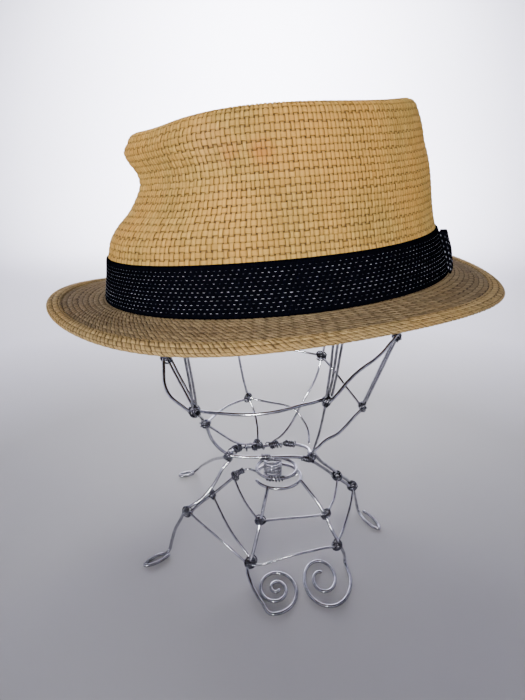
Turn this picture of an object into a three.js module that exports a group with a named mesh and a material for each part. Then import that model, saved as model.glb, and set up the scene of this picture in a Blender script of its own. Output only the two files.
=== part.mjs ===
// A woven straw trilby resting on a stand of hand-tied wire.
// Millimetres, +Z up. The hat's front points to -X and its left side to -Y.
// The finished group stands on Z = 0 with its box centred on the origin.
import * as THREE from 'three';

// Hat: the head opening is an oval measured over the band at its lower edge.
const HEAD_HALF_LENGTH = 102.5;
const HEAD_HALF_WIDTH = 85.4;
const STRAW = 1.8;
const GAP = 0.3;
const BAND_THICKNESS = 1.2;
const BAND_HEIGHT = 24.6;
const AROUND = 48;

// The hat leans forward on the stand.
const HAT_CENTRE = new THREE.Vector3(-1, 0, 186);
const HAT_LEAN = THREE.MathUtils.degToRad(-4.9);

// Crown side wall, outside, from the brim up. front, rear and half are the reach from
// the middle, and pinch is the share of the half width lost at the two front dents.
const CROWN_SECTIONS = [
  { height: 0.3, front: 100.2, rear: 100.4, half: 84.2, pinch: 0.0 },
  { height: 14, front: 97.4, rear: 96.6, half: 81.4, pinch: 0.0 },
  { height: 27, front: 95.0, rear: 93.0, half: 78.8, pinch: 0.0 },
  { height: 34, front: 92.8, rear: 91.9, half: 78.0, pinch: 0.03 },
  { height: 41, front: 88.0, rear: 91.3, half: 77.3, pinch: 0.1 },
  { height: 48, front: 81.0, rear: 90.9, half: 76.6, pinch: 0.2 },
  { height: 56, front: 75.6, rear: 90.2, half: 75.8, pinch: 0.33 },
  { height: 64, front: 72.2, rear: 88.8, half: 75.0, pinch: 0.42 },
  { height: 71, front: 73.2, rear: 87.0, half: 74.2, pinch: 0.45 },
  { height: 77, front: 76.8, rear: 86.2, half: 73.2, pinch: 0.45 },
  { height: 83, front: 78.4, rear: 84.8, half: 72.0, pinch: 0.43 },
  { height: 88, front: 75.4, rear: 83.2, half: 70.6, pinch: 0.41 },
];
const CROWN_HEIGHT = 88;
// Each dent sits at this cosine of the turn round the crown (-1 is the front).
const PINCH_AT = -0.88;
const PINCH_SPREAD = 0.25;
// Height of the wall's upper edge, as waves round the crown.
const RIM_WAVES = [
  { turns: 0, height: 86.4 },
  { turns: 1, height: 1.8 },
  { turns: 2, height: -1.2 },
  { turns: 3, height: 0.7 },
  { turns: 4, height: 0.7 },
];
const RIM_MEAN = RIM_WAVES[0].height;

// Tip of the crown. inset is measured inwards from the wall's outside, towards the middle,
// and rise above the wall's upper edge. The last row of each table is the middle itself.
const TIP_UPPER = [
  { inset: 0.0, rise: 0.3 },
  { inset: 0.9, rise: 1.9 },
  { inset: 3.0, rise: 3.5 },
  { inset: 6.0, rise: 4.3 },
  { inset: 9.6, rise: 3.0 },
  { inset: 15.0, rise: -3.6 },
  { inset: 21.0, rise: -8.6 },
  { inset: 27.0, rise: -9.8 },
];
const TIP_LOWER = [
  { inset: 27.0, rise: -11.6 },
  { inset: 20.2, rise: -10.3 },
  { inset: 14.0, rise: -5.2 },
  { inset: 8.4, rise: 1.0 },
  { inset: 5.0, rise: 2.4 },
  { inset: 2.4, rise: 1.9 },
  { inset: 1.8, rise: 0.3 },
];
const TIP_MIDDLE_X = 2;
const TIP_FLOOR_UPPER = -10.1;
const TIP_FLOOR_LOWER = -11.9;

// Brim: its width outside the band and the height of its edge, as waves round the hat.
// skew is the part of a wave that differs between the hat's left and right.
const BRIM_WAVES = [
  { turns: 0, width: 28.5, lift: -5.0, skew: 0.0 },
  { turns: 1, width: 0.0, lift: -1.8, skew: 0.4 },
  { turns: 2, width: 1.5, lift: 1.7, skew: 2.0 },
  { turns: 3, width: -2.1, lift: -4.3, skew: 0.6 },
];
const BRIM_UNDER_WALL = 4.2;
const BRIM_SAG = 1.2;
const HEM_WIDTH = 8;
// Hem section: out from its inner side, and up from the brim's upper face.
const HEM_SECTION = [
  { out: 0.0, up: 0.1 },
  { out: 1.5, up: 0.7 },
  { out: 6.6, up: 0.6 },
  { out: 8.0, up: -0.4 },
  { out: 7.8, up: -1.6 },
  { out: 6.4, up: -2.2 },
  { out: 0.0, up: -2.0 },
];

// Ribbon keeper over the band's join, as a side profile out from the band.
const TAB_WIDTH = 12.5;
const TAB_TURN = THREE.MathUtils.degToRad(-18);
const TAB_PROFILE = [
  { height: 0.8, out: 1.5 },
  { height: 4, out: 2.1 },
  { height: 10, out: 3.2 },
  { height: 15, out: 3.7 },
  { height: 23.4, out: 4.0 },
];

// Stand wire gauges, as the reach from the middle to a corner of the six-sided section.
const MAIN = 1.1;
const THIN = 0.8;
const WIRE_SIDES = 6;
const WIRE_STEP = 9;

// Places on the stand where wires are tied together.
const KNOTS = {
  hubLeft: [-31, -8, 67],
  hubRight: [24, -8, 67],
  hubBack: [8, 21, 61],
  hubBackLeft: [-12, 17, 62],
  kneeLeft: [-58, -20, 33],
  kneeRight: [55, 10, 33],
  rungLeftHigh: [-10, -33, 35],
  rungRightHigh: [33, -27, 35],
  rungLeftLow: [-15.5, -41, 11],
  rungRightLow: [40, -34, 17],
  waistFrontLeft: [-50, -26, 109],
  waistFrontRight: [30, -26, 116],
  waistRight: [61, 20, 90],
  waistBack: [-19, 40, 88],
  waistLeft: [-46, -3, 89],
  upperLeft: [-70, 3, 133],
  upperRight: [78, 10, 146],
  upperBack: [34, 45, 119],
};

// Straw, ribbon and bare metal.
const FINISHES = {
  straw: new THREE.MeshStandardMaterial({ color: 0xb2935f, roughness: 0.85, metalness: 0 }),
  tip: new THREE.MeshStandardMaterial({ color: 0xa5865a, roughness: 0.85, metalness: 0 }),
  hem: new THREE.MeshStandardMaterial({ color: 0x9c8158, roughness: 0.85, metalness: 0 }),
  ribbon: new THREE.MeshStandardMaterial({ color: 0x121319, roughness: 0.7, metalness: 0 }),
  wire: new THREE.MeshStandardMaterial({ color: 0xa9abb3, roughness: 0.25, metalness: 1 }),
};

const object = new THREE.Group();
const hat = new THREE.Group();
hat.position.copy(HAT_CENTRE);
hat.rotation.y = HAT_LEAN;
object.add(hat);

function addMesh(parent, name, geometry, finish) {
  const mesh = new THREE.Mesh(geometry, FINISHES[finish].clone());
  mesh.name = name;
  parent.add(mesh);
}

// Value of a column at a height, straight between the table's rows.
function columnAt(table, column, height) {
  const above = table.findIndex((row) => row.height >= height);
  if (above === 0) return table[0][column];
  if (above < 0) return table[table.length - 1][column];
  const low = table[above - 1];
  const high = table[above];
  const share = (height - low.height) / (high.height - low.height);
  return THREE.MathUtils.lerp(low[column], high[column], share);
}

// Outside of the crown in plan at a height. turn 0 is the back and half a turn the front.
function crownOutline(height, turn) {
  const along = Math.cos(turn);
  const reach = columnAt(CROWN_SECTIONS, along > 0 ? 'rear' : 'front', height);
  const dent = Math.exp(-(((along - PINCH_AT) / PINCH_SPREAD) ** 2));
  const pinch = columnAt(CROWN_SECTIONS, 'pinch', height);
  const half = columnAt(CROWN_SECTIONS, 'half', height);
  return new THREE.Vector2(reach * along, half * Math.sin(turn) * (1 - pinch * dent));
}

// A column of waves added up at a turn.
function waves(table, column, turn, wave = Math.cos) {
  return table.reduce((sum, row) => sum + row[column] * wave(row.turns * turn), 0);
}

// A plan curve moved outwards by a distance, square to itself.
function offsetPlan(plan, turn, distance) {
  const step = 0.002;
  const before = plan(turn - step);
  const after = plan(turn + step);
  const along = after.sub(before).normalize();
  return plan(turn).add(new THREE.Vector2(along.y, -along.x).multiplyScalar(distance));
}

function crownPoint(height, turn, outward) {
  const flat = offsetPlan((t) => crownOutline(height, t), turn, outward);
  return new THREE.Vector3(flat.x, flat.y, (height * waves(RIM_WAVES, 'height', turn)) / CROWN_HEIGHT);
}

// A ring or cap turned from a profile with a point for each row, every vertex then set by
// place(row, turn). A closed profile ends where it starts, an open one on the axis.
function turned(rows, place, closed = true) {
  const profile = rows.map((row, i) => {
    const angle = (Math.PI * (closed ? 2 : 1) * i) / (rows.length - (closed ? 0 : 1));
    return new THREE.Vector2((closed ? 3 : 0) + Math.sin(angle), -Math.cos(angle));
  });
  if (closed) profile.push(profile[0].clone());
  const geometry = new THREE.LatheGeometry(profile, AROUND);
  const vertices = geometry.attributes.position;
  for (let i = 0; i < vertices.count; i++) {
    const turn = (2 * Math.PI * (Math.floor(i / profile.length) % AROUND)) / AROUND;
    const point = place(rows[(i % profile.length) % rows.length], turn);
    vertices.setXYZ(i, point.x, point.y, point.z);
  }
  geometry.computeVertexNormals();
  return geometry;
}

function crownWall() {
  const heights = CROWN_SECTIONS.map((row) => row.height);
  const outside = heights.map((height) => ({ height, outward: 0 }));
  const inside = heights.map((height) => ({ height, outward: -STRAW })).reverse();
  return turned([...outside, ...inside], (row, turn) => crownPoint(row.height, turn, row.outward));
}

function tipPoint(row, turn) {
  const rim = crownPoint(CROWN_HEIGHT, turn, 0);
  const inwards = new THREE.Vector3(TIP_MIDDLE_X - rim.x, -rim.y, 0).setLength(row.inset);
  return row.middle
    ? new THREE.Vector3(TIP_MIDDLE_X, 0, RIM_MEAN + row.rise)
    : rim.add(inwards).add(new THREE.Vector3(0, 0, row.rise));
}

function crownTip() {
  const under = { middle: true, rise: TIP_FLOOR_LOWER };
  const over = { middle: true, rise: TIP_FLOOR_UPPER };
  return turned([under, ...TIP_LOWER, ...TIP_UPPER, over], tipPoint, false);
}

function headOval(turn) {
  return new THREE.Vector2(HEAD_HALF_LENGTH * Math.cos(turn), HEAD_HALF_WIDTH * Math.sin(turn));
}

// A point on the brim's upper face, out from the band, then raised by up.
function brimPoint(out, up, turn) {
  const flat = offsetPlan(headOval, turn, out);
  const share = Math.max(out, 0) / waves(BRIM_WAVES, 'width', turn);
  const lift = waves(BRIM_WAVES, 'lift', turn) + waves(BRIM_WAVES, 'skew', turn, Math.sin);
  return new THREE.Vector3(flat.x, flat.y, lift * share ** BRIM_SAG + up);
}

function brim() {
  const shares = [0, 0.2, 0.6, 1];
  const rows = [
    ...shares.map((share) => ({ share, up: -STRAW })),
    ...shares.map((share) => ({ share, up: 0 })).reverse(),
  ];
  return turned(rows, (row, turn) => {
    const outer = waves(BRIM_WAVES, 'width', turn) - HEM_WIDTH - GAP;
    return brimPoint(THREE.MathUtils.lerp(-BRIM_UNDER_WALL, outer, row.share), row.up, turn);
  });
}

function brimHem() {
  const rows = [...HEM_SECTION].reverse();
  return turned(rows, (row, turn) => {
    const inner = waves(BRIM_WAVES, 'width', turn) - HEM_WIDTH;
    return brimPoint(inner + row.out, row.up, turn);
  });
}

function band() {
  const heights = [GAP + 0.2, 14, BAND_HEIGHT];
  const outside = heights.map((height) => ({ height, outward: GAP + BAND_THICKNESS }));
  const inside = heights.map((height) => ({ height, outward: GAP })).reverse();
  return turned([...outside, ...inside], (row, turn) => crownPoint(row.height, turn, row.outward));
}

// The tab's profile is drawn out from the band's lower edge, then stood at its turn.
function bandTab() {
  const outward = GAP + BAND_THICKNESS + GAP;
  const foot = crownPoint(0, TAB_TURN, outward);
  const facing = crownPoint(0, TAB_TURN, outward + 1).sub(foot);
  const seat = (height) => {
    const behind = crownPoint(height, TAB_TURN, outward).sub(foot);
    return behind.x * facing.x + behind.y * facing.y;
  };
  const shape = new THREE.Shape();
  TAB_PROFILE.forEach((row, i) => {
    const x = seat(row.height) + row.out;
    if (i === 0) shape.moveTo(x, row.height);
    else shape.lineTo(x, row.height);
  });
  [...TAB_PROFILE].reverse().forEach((row) => shape.lineTo(seat(row.height), row.height));
  shape.closePath();
  const geometry = new THREE.ExtrudeGeometry(shape, {
    depth: TAB_WIDTH, steps: 1, bevelEnabled: false,
  });
  geometry.rotateX(Math.PI / 2);
  geometry.translate(0, TAB_WIDTH / 2, 0);
  geometry.rotateZ(Math.atan2(facing.y, facing.x));
  geometry.translate(foot.x, foot.y, 0);
  return geometry;
}

addMesh(hat, 'crown', crownWall(), 'straw');
addMesh(hat, 'crown_tip', crownTip(), 'tip');
addMesh(hat, 'brim', brim(), 'straw');
addMesh(hat, 'brim_edge', brimHem(), 'hem');
addMesh(hat, 'band', band(), 'ribbon');
addMesh(hat, 'band_tab', bandTab(), 'ribbon');

// A wire as a line of stops, so that its section is set square at each stop.
class StopPath extends THREE.Curve {
  constructor(stops) {
    super();
    this.stops = stops;
  }

  getPoint(share, target = new THREE.Vector3()) {
    const place = THREE.MathUtils.clamp(share, 0, 1) * (this.stops.length - 1);
    const before = Math.min(Math.floor(place), this.stops.length - 2);
    return target.lerpVectors(this.stops[before], this.stops[before + 1], place - before);
  }

  getPointAt(share, target) {
    return this.getPoint(share, target);
  }

  getTangentAt(share, target = new THREE.Vector3()) {
    const step = 0.5 / (this.stops.length - 1);
    const ahead = this.getPoint(share + step);
    return target.copy(ahead).sub(this.getPoint(share - step)).normalize();
  }
}

// Six-sided section with two flat sides square to the first normal.
function wireSection(radius) {
  const shape = new THREE.Shape();
  for (let i = 0; i < WIRE_SIDES; i++) {
    const angle = (2 * Math.PI * (i + 0.5)) / WIRE_SIDES;
    const x = radius * Math.cos(angle);
    const y = radius * Math.sin(angle);
    if (i === 0) shape.moveTo(x, y);
    else shape.lineTo(x, y);
  }
  shape.closePath();
  return shape;
}

function wireGeometry(wire) {
  const path = new StopPath(wire.stops);
  const settings = { steps: wire.stops.length - 1, extrudePath: path };
  return new THREE.ExtrudeGeometry(wireSection(wire.radius), settings);
}

const FLOOR_WIRE = MAIN * Math.cos(Math.PI / WIRE_SIDES);

function point(place) {
  return new THREE.Vector3(...(typeof place === 'string' ? KNOTS[place] : place));
}

// Stops along a smooth line through places.
function route(places, step = WIRE_STEP) {
  const curve = new THREE.CatmullRomCurve3(places.map(point), false, 'centripetal');
  return curve.getSpacedPoints(Math.max(3, Math.round(curve.getLength() / step)));
}

const wires = [];

// A hair's offset, different for each wire, sets which way wires tied at one place part.
function addWire(name, radius, stops, fixed = 0) {
  const hair = 0.02;
  const aside = new THREE.Vector3(Math.cos(wires.length), Math.sin(wires.length), 0);
  stops.forEach((stop) => stop.addScaledVector(aside, hair));
  wires.push({ name, radius, stops, fixed });
}

// Flat scroll on the floor, wound out from its middle, then the leg that rises from it.
function scrollLeg(scroll, leg) {
  const stops = [];
  const count = Math.round(scroll.turns * scroll.stepsPerTurn);
  for (let i = 0; i <= count; i++) {
    const share = i / count;
    const angle = scroll.end + scroll.hand * 2 * Math.PI * scroll.turns * (share - 1);
    const grow = scroll.start + (1 - scroll.start) * share ** scroll.swell;
    const middle = new THREE.Vector3(...scroll.eye).lerp(new THREE.Vector3(...scroll.centre), share);
    middle.x += scroll.halfWidth * grow * Math.cos(angle);
    middle.y += scroll.halfLength * grow * Math.sin(angle);
    stops.push(middle);
  }
  const rise = route([stops[stops.length - 1].toArray(), ...leg]);
  return { stops: [...stops, ...rise.slice(1)], fixed: count + 1 };
}

const leftScroll = scrollLeg({
  eye: [0.4, -54.9, FLOOR_WIRE], centre: [-0.7, -55.8, FLOOR_WIRE], halfWidth: 15.2,
  halfLength: 19.9, start: 0.11, swell: 1.26, turns: 2.18, stepsPerTurn: 11, hand: -1,
  end: Math.PI * 1.43,
}, [[-12.5, -60, 1.8], [-17.8, -45, 5.5], 'rungLeftLow', 'rungLeftHigh', [-5, -20, 51]]);
addWire('leg_front_left', MAIN, leftScroll.stops, leftScroll.fixed);

const rightScroll = scrollLeg({
  eye: [28.7, -47.1, FLOOR_WIRE], centre: [30.9, -45.9, FLOOR_WIRE], halfWidth: 17.7,
  halfLength: 28.7, start: 0.24, swell: 1.39, turns: 1.85, stepsPerTurn: 11, hand: 1,
  end: Math.PI * 0.17,
}, [[46.5, -33, 6], 'rungRightLow', 'rungRightHigh', [17, -13, 52]]);
addWire('leg_front_right', MAIN, rightScroll.stops, rightScroll.fixed);

// Narrow loop on the floor, from a free end at the heel round the toe and back, then the leg.
function loopLeg(heel, toe, width, leg) {
  const from = new THREE.Vector3(heel[0], heel[1], FLOOR_WIRE);
  const to = new THREE.Vector3(toe[0], toe[1], FLOOR_WIRE);
  const along = to.clone().sub(from);
  const across = new THREE.Vector3(-along.y, along.x, 0).setLength(width / 2);
  const outline = [
    { far: 0.12, side: 0.6 },
    { far: 0.45, side: 1 },
    { far: 0.8, side: 0.8 },
    { far: 1, side: 0 },
    { far: 0.8, side: -0.8 },
    { far: 0.45, side: -1 },
    { far: 0.05, side: -0.45 },
  ];
  const stops = outline.map((row) =>
    from.clone().addScaledVector(along, row.far).addScaledVector(across, row.side));
  const rise = route([stops[stops.length - 1].toArray(), ...leg]);
  return { stops: [...stops, ...rise.slice(1)], fixed: stops.length };
}

const leftFoot = loopLeg([-71, -21], [-86, -34], 6,
  [[-70, -19, 9], [-66, -19, 21], 'kneeLeft', [-43, -14, 46], 'hubLeft']);
addWire('leg_left', MAIN, leftFoot.stops, leftFoot.fixed);

const rightFoot = loopLeg([65, 27], [75.5, 4], 7,
  [[62, 25, 9], [58.5, 16, 23], 'kneeRight', [44, 4, 47], 'hubRight']);
addWire('leg_right', MAIN, rightFoot.stops, rightFoot.fixed);

const backFoot = loopLeg([-66, 80], [-78, 75], 5,
  [[-62, 76, 7], [-58, 58, 20], [-51, 38, 35], [-43, 18, 50], 'hubLeft']);
addWire('leg_back', MAIN, backFoot.stops, backFoot.fixed);

addWire('thigh_left', MAIN, route(['kneeLeft', [-42, -9, 39], [-27, -2, 49]]));
addWire('thigh_right', MAIN, route(['kneeRight', [43, 4, 44], [25, -7.5, 65]]));

// Ring of the hub, open where its ends are tied.
function openRing(centre, halfLength, halfWidth, tilt, steps, start = Math.PI) {
  const stops = [];
  const open = 0.06;
  for (let i = 0; i <= steps; i++) {
    const angle = start + 2 * Math.PI * (open + (1 - 2 * open) * (i / steps));
    const x = halfLength * Math.cos(angle);
    stops.push(new THREE.Vector3(
      centre[0] + x, centre[1] + halfWidth * Math.sin(angle), centre[2] + x * tilt));
  }
  return stops;
}

addWire('hub_bar', MAIN, route(['hubLeft', [-4, -12, 69], 'hubRight']));
addWire('hub_ring_back', MAIN, route(['hubLeft', [-27, 8, 64], 'hubBackLeft', 'hubBack',
  [22, 12, 63], 'hubRight']));
addWire('hub_ring_low', MAIN, openRing([2, -4, 50], 15.5, 15.5, 0, 14));
addWire('hub_ring_mid', MAIN, openRing([1, -3, 55.5], 13.5, 13.5, 0, 13, Math.PI / 2));

function coil(centre, radius, turns, pitch, stepsPerTurn) {
  const stops = [];
  for (let i = 0; i <= turns * stepsPerTurn; i++) {
    const angle = (2 * Math.PI * i) / stepsPerTurn;
    stops.push(new THREE.Vector3(
      centre[0] + radius * Math.cos(angle), centre[1] + radius * Math.sin(angle),
      centre[2] + (pitch * i) / stepsPerTurn));
  }
  return stops;
}

const coilStops = coil([-1.5, 0, 47], 5.6, 6, 2.3, 7);
const coilFoot = route([[15, -4, 51], [10, -3, 49], coilStops[0].toArray()]);
const coilHead = route([coilStops[coilStops.length - 1].toArray(), [2, -7, 64], [-1, -11, 67.5]]);
addWire('hub_coil', THIN, [...coilFoot.slice(0, -1), ...coilStops, ...coilHead.slice(1)]);
addWire('hub_link', THIN, route([[-27, -3, 50.5], [-19, -5, 56], [-13, -4, 54]]));

addWire('rung_high', THIN, route(['rungLeftHigh', 'rungRightHigh']));
addWire('rung_low', THIN, route([[-16, -42.6, 8.4], [-9, -42, 8.2], [6, -42, 14],
  [22, -40, 17], 'rungRightLow']));
addWire('brace_left_outer', THIN, route(['kneeLeft', [-46, -28, 27], [-32, -36, 19],
  [-17, -42, 7.5]]));
addWire('brace_left_inner', THIN, route([[-42, -11, 39.5], [-30, -28, 25], 'rungLeftLow']));
addWire('brace_left_high', THIN, route([[-28, -4, 49], [-22, -14, 40], [-14, -28, 36.5],
  'rungLeftHigh']));
addWire('brace_right_high', THIN, route([[43, 3, 45], [41, -8, 38], 'rungRightHigh']));
addWire('brace_right_low', THIN, route(['kneeRight', [54, 2, 27], [47, -16, 19], 'rungRightLow']));

// Cage: tied wires that spread from the hub into the crown.
addWire('cage_front', MAIN, route(['waistFrontLeft', [-34, -34, 111.5], [-16, -38, 112.5],
  [2, -37, 114.5], [17, -32, 116.5], 'waistFrontRight']));
addWire('cage_left', MAIN, route(['upperLeft', [-71, -5, 125], [-68, -14, 117],
  [-61, -20, 112], 'waistFrontLeft']));
addWire('cage_left_pair_1', THIN, route([[-69.5, 2.5, 132], [-50.5, -24.5, 110.5]]));
addWire('cage_left_pair_2', THIN, route([[-68, 4, 132.5], [-49, -24, 111.5]]));
addWire('cage_right', MAIN, route(['upperRight', [66, -2, 137], [49, -14, 129],
  [36, -24, 119.5], 'waistFrontRight']));
addWire('cage_right_pair_1', THIN, route([[77.5, 11, 145], [60.5, 20, 91]]));
addWire('cage_right_pair_2', THIN, route([[79.5, 12, 144.5], [62.5, 21, 91]]));
addWire('cage_right_back', THIN, route(['upperBack', [43, 42, 109], [50, 34, 101], 'waistRight']));
addWire('cage_right_low', MAIN, route(['waistRight', [51, 14, 81], [42, 8, 75], [33, 4, 72],
  'hubRight']));
addWire('cage_left_low', MAIN, route(['waistFrontLeft', 'waistLeft', [-41, -6, 77], 'hubLeft']));
addWire('cage_left_hub', THIN, route(['waistLeft', [-35, 5, 76], [-25, 10, 67],
  'hubBackLeft']));
addWire('cage_left_back', THIN, route(['waistLeft', [-34, 25, 88], 'waistBack']));
addWire('cage_back', THIN, route(['waistBack', [-3, 41, 84], [14, 40, 79.5], [24, 32, 68],
  [24, 14, 65]]));
addWire('cage_back_cross', THIN, route(['upperBack', [31, 44, 104], [21, 40, 85], [9, 30, 67],
  [-1, 21, 61.6]]));
addWire('cage_back_top', THIN, route(['upperBack', [10, 50, 122], [-26, 43, 125],
  [-55, 26, 130], 'upperLeft']));
addWire('cage_front_right_low', THIN, route(['waistFrontRight', [28, -18, 93], 'hubRight']));

// Staves: from the cage up inside the crown to a ring under its tip.
const TIP_RING = { x: 2, halfLength: 42, halfWidth: 30, spread: 0.72, below: 1.6 };

// Underside of the tip's floor at a turn, part of the way out from its middle.
function tipUnderside(turn, spread) {
  const edge = waves(RIM_WAVES, 'height', turn) + TIP_LOWER[0].rise;
  return THREE.MathUtils.lerp(RIM_MEAN + TIP_FLOOR_LOWER, edge, spread);
}

function hatToStand(x, y, height) {
  return new THREE.Vector3(x, y, height).applyAxisAngle(new THREE.Vector3(0, 1, 0), HAT_LEAN)
    .add(HAT_CENTRE);
}

function tipRing(turn, down = 0, share = 1) {
  const x = TIP_RING.x + TIP_RING.halfLength * share * Math.cos(turn);
  const height = tipUnderside(turn, TIP_RING.spread) - TIP_RING.below - down;
  return hatToStand(x, TIP_RING.halfWidth * share * Math.sin(turn), height);
}

function ringStops(steps) {
  const stops = [];
  const open = 0.02;
  for (let i = 0; i <= steps; i++) {
    stops.push(tipRing(2 * Math.PI * (open + (1 - 2 * open) * (i / steps))));
  }
  return stops;
}

addWire('tip_ring', THIN, ringStops(18));

const STAVES = [
  { name: 'stave_front', radius: THIN, turn: 180, from: 'upperLeft',
    via: [[-75, 2, 165], [-74, 1, 195], [-66, 0, 225]] },
  { name: 'stave_back', radius: THIN, turn: 2, from: 'upperRight',
    via: [[83, 8, 170], [84, 6, 200], [78, 3, 230]] },
  { name: 'stave_left_front_1', radius: THIN, turn: 222, from: 'waistFrontLeft',
    via: [[-52, -28, 130], [-54, -29, 146], [-57, -35, 176], [-56, -40, 205], [-49, -39, 232]] },
  { name: 'stave_left_front_2', radius: THIN, turn: 229, from: [-48.5, -26, 112],
    via: [[-50, -28, 130], [-52, -30, 146], [-54, -37, 176], [-53, -42, 205], [-45, -41, 232]] },
  { name: 'stave_left_back_1', radius: THIN, turn: 300, from: 'waistFrontRight',
    via: [[31.5, -29, 137], [32, -31, 153], [35, -38, 180], [37, -43, 208], [34, -41, 235]] },
  { name: 'stave_left_back_2', radius: THIN, turn: 307, from: [31.5, -26, 118],
    via: [[33.5, -29, 137], [34.5, -31, 153], [38, -38, 181], [41, -42, 209], [38, -40, 236]] },
  { name: 'stave_left_back_3', radius: THIN, turn: 314, from: [33, -26, 119],
    via: [[35.5, -29, 137], [37, -31, 153], [41, -37, 182], [45, -41, 210], [42, -38, 236]] },
  { name: 'stave_right_front', radius: THIN, turn: 135, from: 'hubBackLeft',
    via: [[-13, 33, 75], 'waistBack', [-23, 42, 105], [-26, 44, 122], [-32, 49, 155], [-36, 50, 190],
      [-36, 46, 225]] },
  { name: 'stave_right_back', radius: THIN, turn: 52, from: 'upperBack',
    via: [[36, 46, 127], [42, 50, 155], [46, 52, 190], [43, 46, 228]] },
];

STAVES.forEach((stave) => {
  const turn = THREE.MathUtils.degToRad(stave.turn);
  const shoulder = tipRing(turn, 9, 1.22).toArray();
  const end = tipRing(turn, 2 * THIN + GAP).toArray();
  const steps = 13;
  addWire(stave.name, stave.radius, route([stave.from, ...stave.via, shoulder, end], steps));
});

// Nearest points of two straight stretches, as shares along each.
function nearest(a0, a1, b0, b1) {
  const a = a1.clone().sub(a0);
  const b = b1.clone().sub(b0);
  const r = a0.clone().sub(b0);
  const aa = a.dot(a);
  const bb = b.dot(b);
  const ab = a.dot(b);
  const ar = a.dot(r);
  const br = b.dot(r);
  const flat = aa * bb - ab * ab;
  let s = flat > 1e-9 ? THREE.MathUtils.clamp((ab * br - ar * bb) / flat, 0, 1) : 0.5;
  let t = (ab * s + br) / bb;
  if (t < 0 || t > 1) {
    t = THREE.MathUtils.clamp(t, 0, 1);
    s = THREE.MathUtils.clamp((ab * t - ar) / aa, 0, 1);
  }
  const from = b0.clone().addScaledVector(b, t);
  return { s, t, apart: a0.clone().addScaledVector(a, s).sub(from) };
}

// Moves one stretch of a wire. What lies on the floor stays at its height.
function shift(wire, index, share, push) {
  [[index, 1 - share], [index + 1, share]].forEach(([stop, weight]) => {
    const height = wire.stops[stop].z;
    wire.stops[stop].addScaledVector(push, weight);
    if (stop < wire.fixed) wire.stops[stop].z = height;
  });
}

// Pushes two wires off each other where they lie closer than their gap.
function partPair(one, other) {
  const need = one.radius + other.radius + GAP;
  let moved = false;
  for (let i = 0; i < one.stops.length - 1; i++) {
    for (let j = 0; j < other.stops.length - 1; j++) {
      const near = nearest(one.stops[i], one.stops[i + 1], other.stops[j], other.stops[j + 1]);
      const distance = near.apart.length();
      if (distance < need && distance > 1e-6) {
        const push = near.apart.multiplyScalar((0.55 * (need - distance)) / distance);
        shift(one, i, near.s, push);
        shift(other, j, near.t, push.clone().negate());
        moved = true;
      }
    }
  }
  return moved;
}

function boxOf(wire) {
  return new THREE.Box3().setFromPoints(wire.stops).expandByScalar(2);
}

// Tied wires lie side by side, each a small gap from the next.
function layApart() {
  const rounds = 80;
  for (let round = 0; round < rounds; round++) {
    const boxes = wires.map(boxOf);
    let moved = false;
    wires.forEach((one, i) => wires.slice(i + 1).forEach((other, j) => {
      if (boxes[i].intersectsBox(boxes[i + 1 + j])) moved = partPair(one, other) || moved;
    }));
    if (!moved) return;
  }
}

layApart();
wires.forEach((wire) => addMesh(object, wire.name, wireGeometry(wire), 'wire'));

// Stand the finished object on Z = 0, centred in plan.
object.updateMatrixWorld(true);
const extent = new THREE.Box3().setFromObject(object, true);
const middle = extent.getCenter(new THREE.Vector3());
const foot = new THREE.Vector3(middle.x, middle.y, extent.min.z);
object.children.forEach((child) => child.position.sub(foot));

export default object;
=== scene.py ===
"""Looks for a woven straw trilby that rests on a stand of hand-tied wire."""
import math

import bpy
import numpy as np
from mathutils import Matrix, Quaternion, Vector


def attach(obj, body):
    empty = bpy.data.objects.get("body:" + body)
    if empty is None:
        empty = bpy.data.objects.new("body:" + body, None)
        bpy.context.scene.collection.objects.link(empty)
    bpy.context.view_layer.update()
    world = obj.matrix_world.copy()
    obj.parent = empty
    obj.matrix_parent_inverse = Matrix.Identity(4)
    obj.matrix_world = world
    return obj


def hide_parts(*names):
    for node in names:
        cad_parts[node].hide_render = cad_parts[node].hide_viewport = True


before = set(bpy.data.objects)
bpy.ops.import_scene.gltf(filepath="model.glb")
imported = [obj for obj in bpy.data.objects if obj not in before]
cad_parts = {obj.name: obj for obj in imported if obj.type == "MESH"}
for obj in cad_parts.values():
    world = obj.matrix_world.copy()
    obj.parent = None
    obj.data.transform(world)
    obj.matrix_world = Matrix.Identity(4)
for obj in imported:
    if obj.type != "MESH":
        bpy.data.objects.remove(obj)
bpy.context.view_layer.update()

MM = 0.001
BODY = "root"

# Sizes, in millimetres.
HEAD_HALF_LENGTH = 102.5
HEAD_HALF_WIDTH = 85.4
GAP = 0.3
BAND_THICKNESS = 1.2
BAND_HEIGHT = 24.6
HAT_CENTRE = np.array([1.776, 0.0, 186.0])
HAT_LEAN = math.radians(-4.9)

# Crown side wall, outside. front, rear and half are its reach from the middle, and pinch is
# the share of the half width lost at the two front dents.
FRONT, REAR, HALF, PINCH = 1, 2, 3, 4
CROWN_SECTIONS = np.array([
    # height, front, rear, half, pinch
    (0.3, 100.2, 100.4, 84.2, 0.0),
    (14, 97.4, 96.6, 81.4, 0.0),
    (27, 95.0, 93.0, 78.8, 0.0),
    (34, 92.8, 91.9, 78.0, 0.03),
    (41, 88.0, 91.3, 77.3, 0.1),
    (48, 81.0, 90.9, 76.6, 0.2),
    (56, 75.6, 90.2, 75.8, 0.33),
    (64, 72.2, 88.8, 75.0, 0.42),
    (71, 73.2, 87.0, 74.2, 0.45),
    (77, 76.8, 86.2, 73.2, 0.45),
    (83, 78.4, 84.8, 72.0, 0.43),
    (88, 75.4, 83.2, 70.6, 0.41),
])
CROWN_HEIGHT = 88
PINCH_AT = -0.88
PINCH_SPREAD = 0.25
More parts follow.
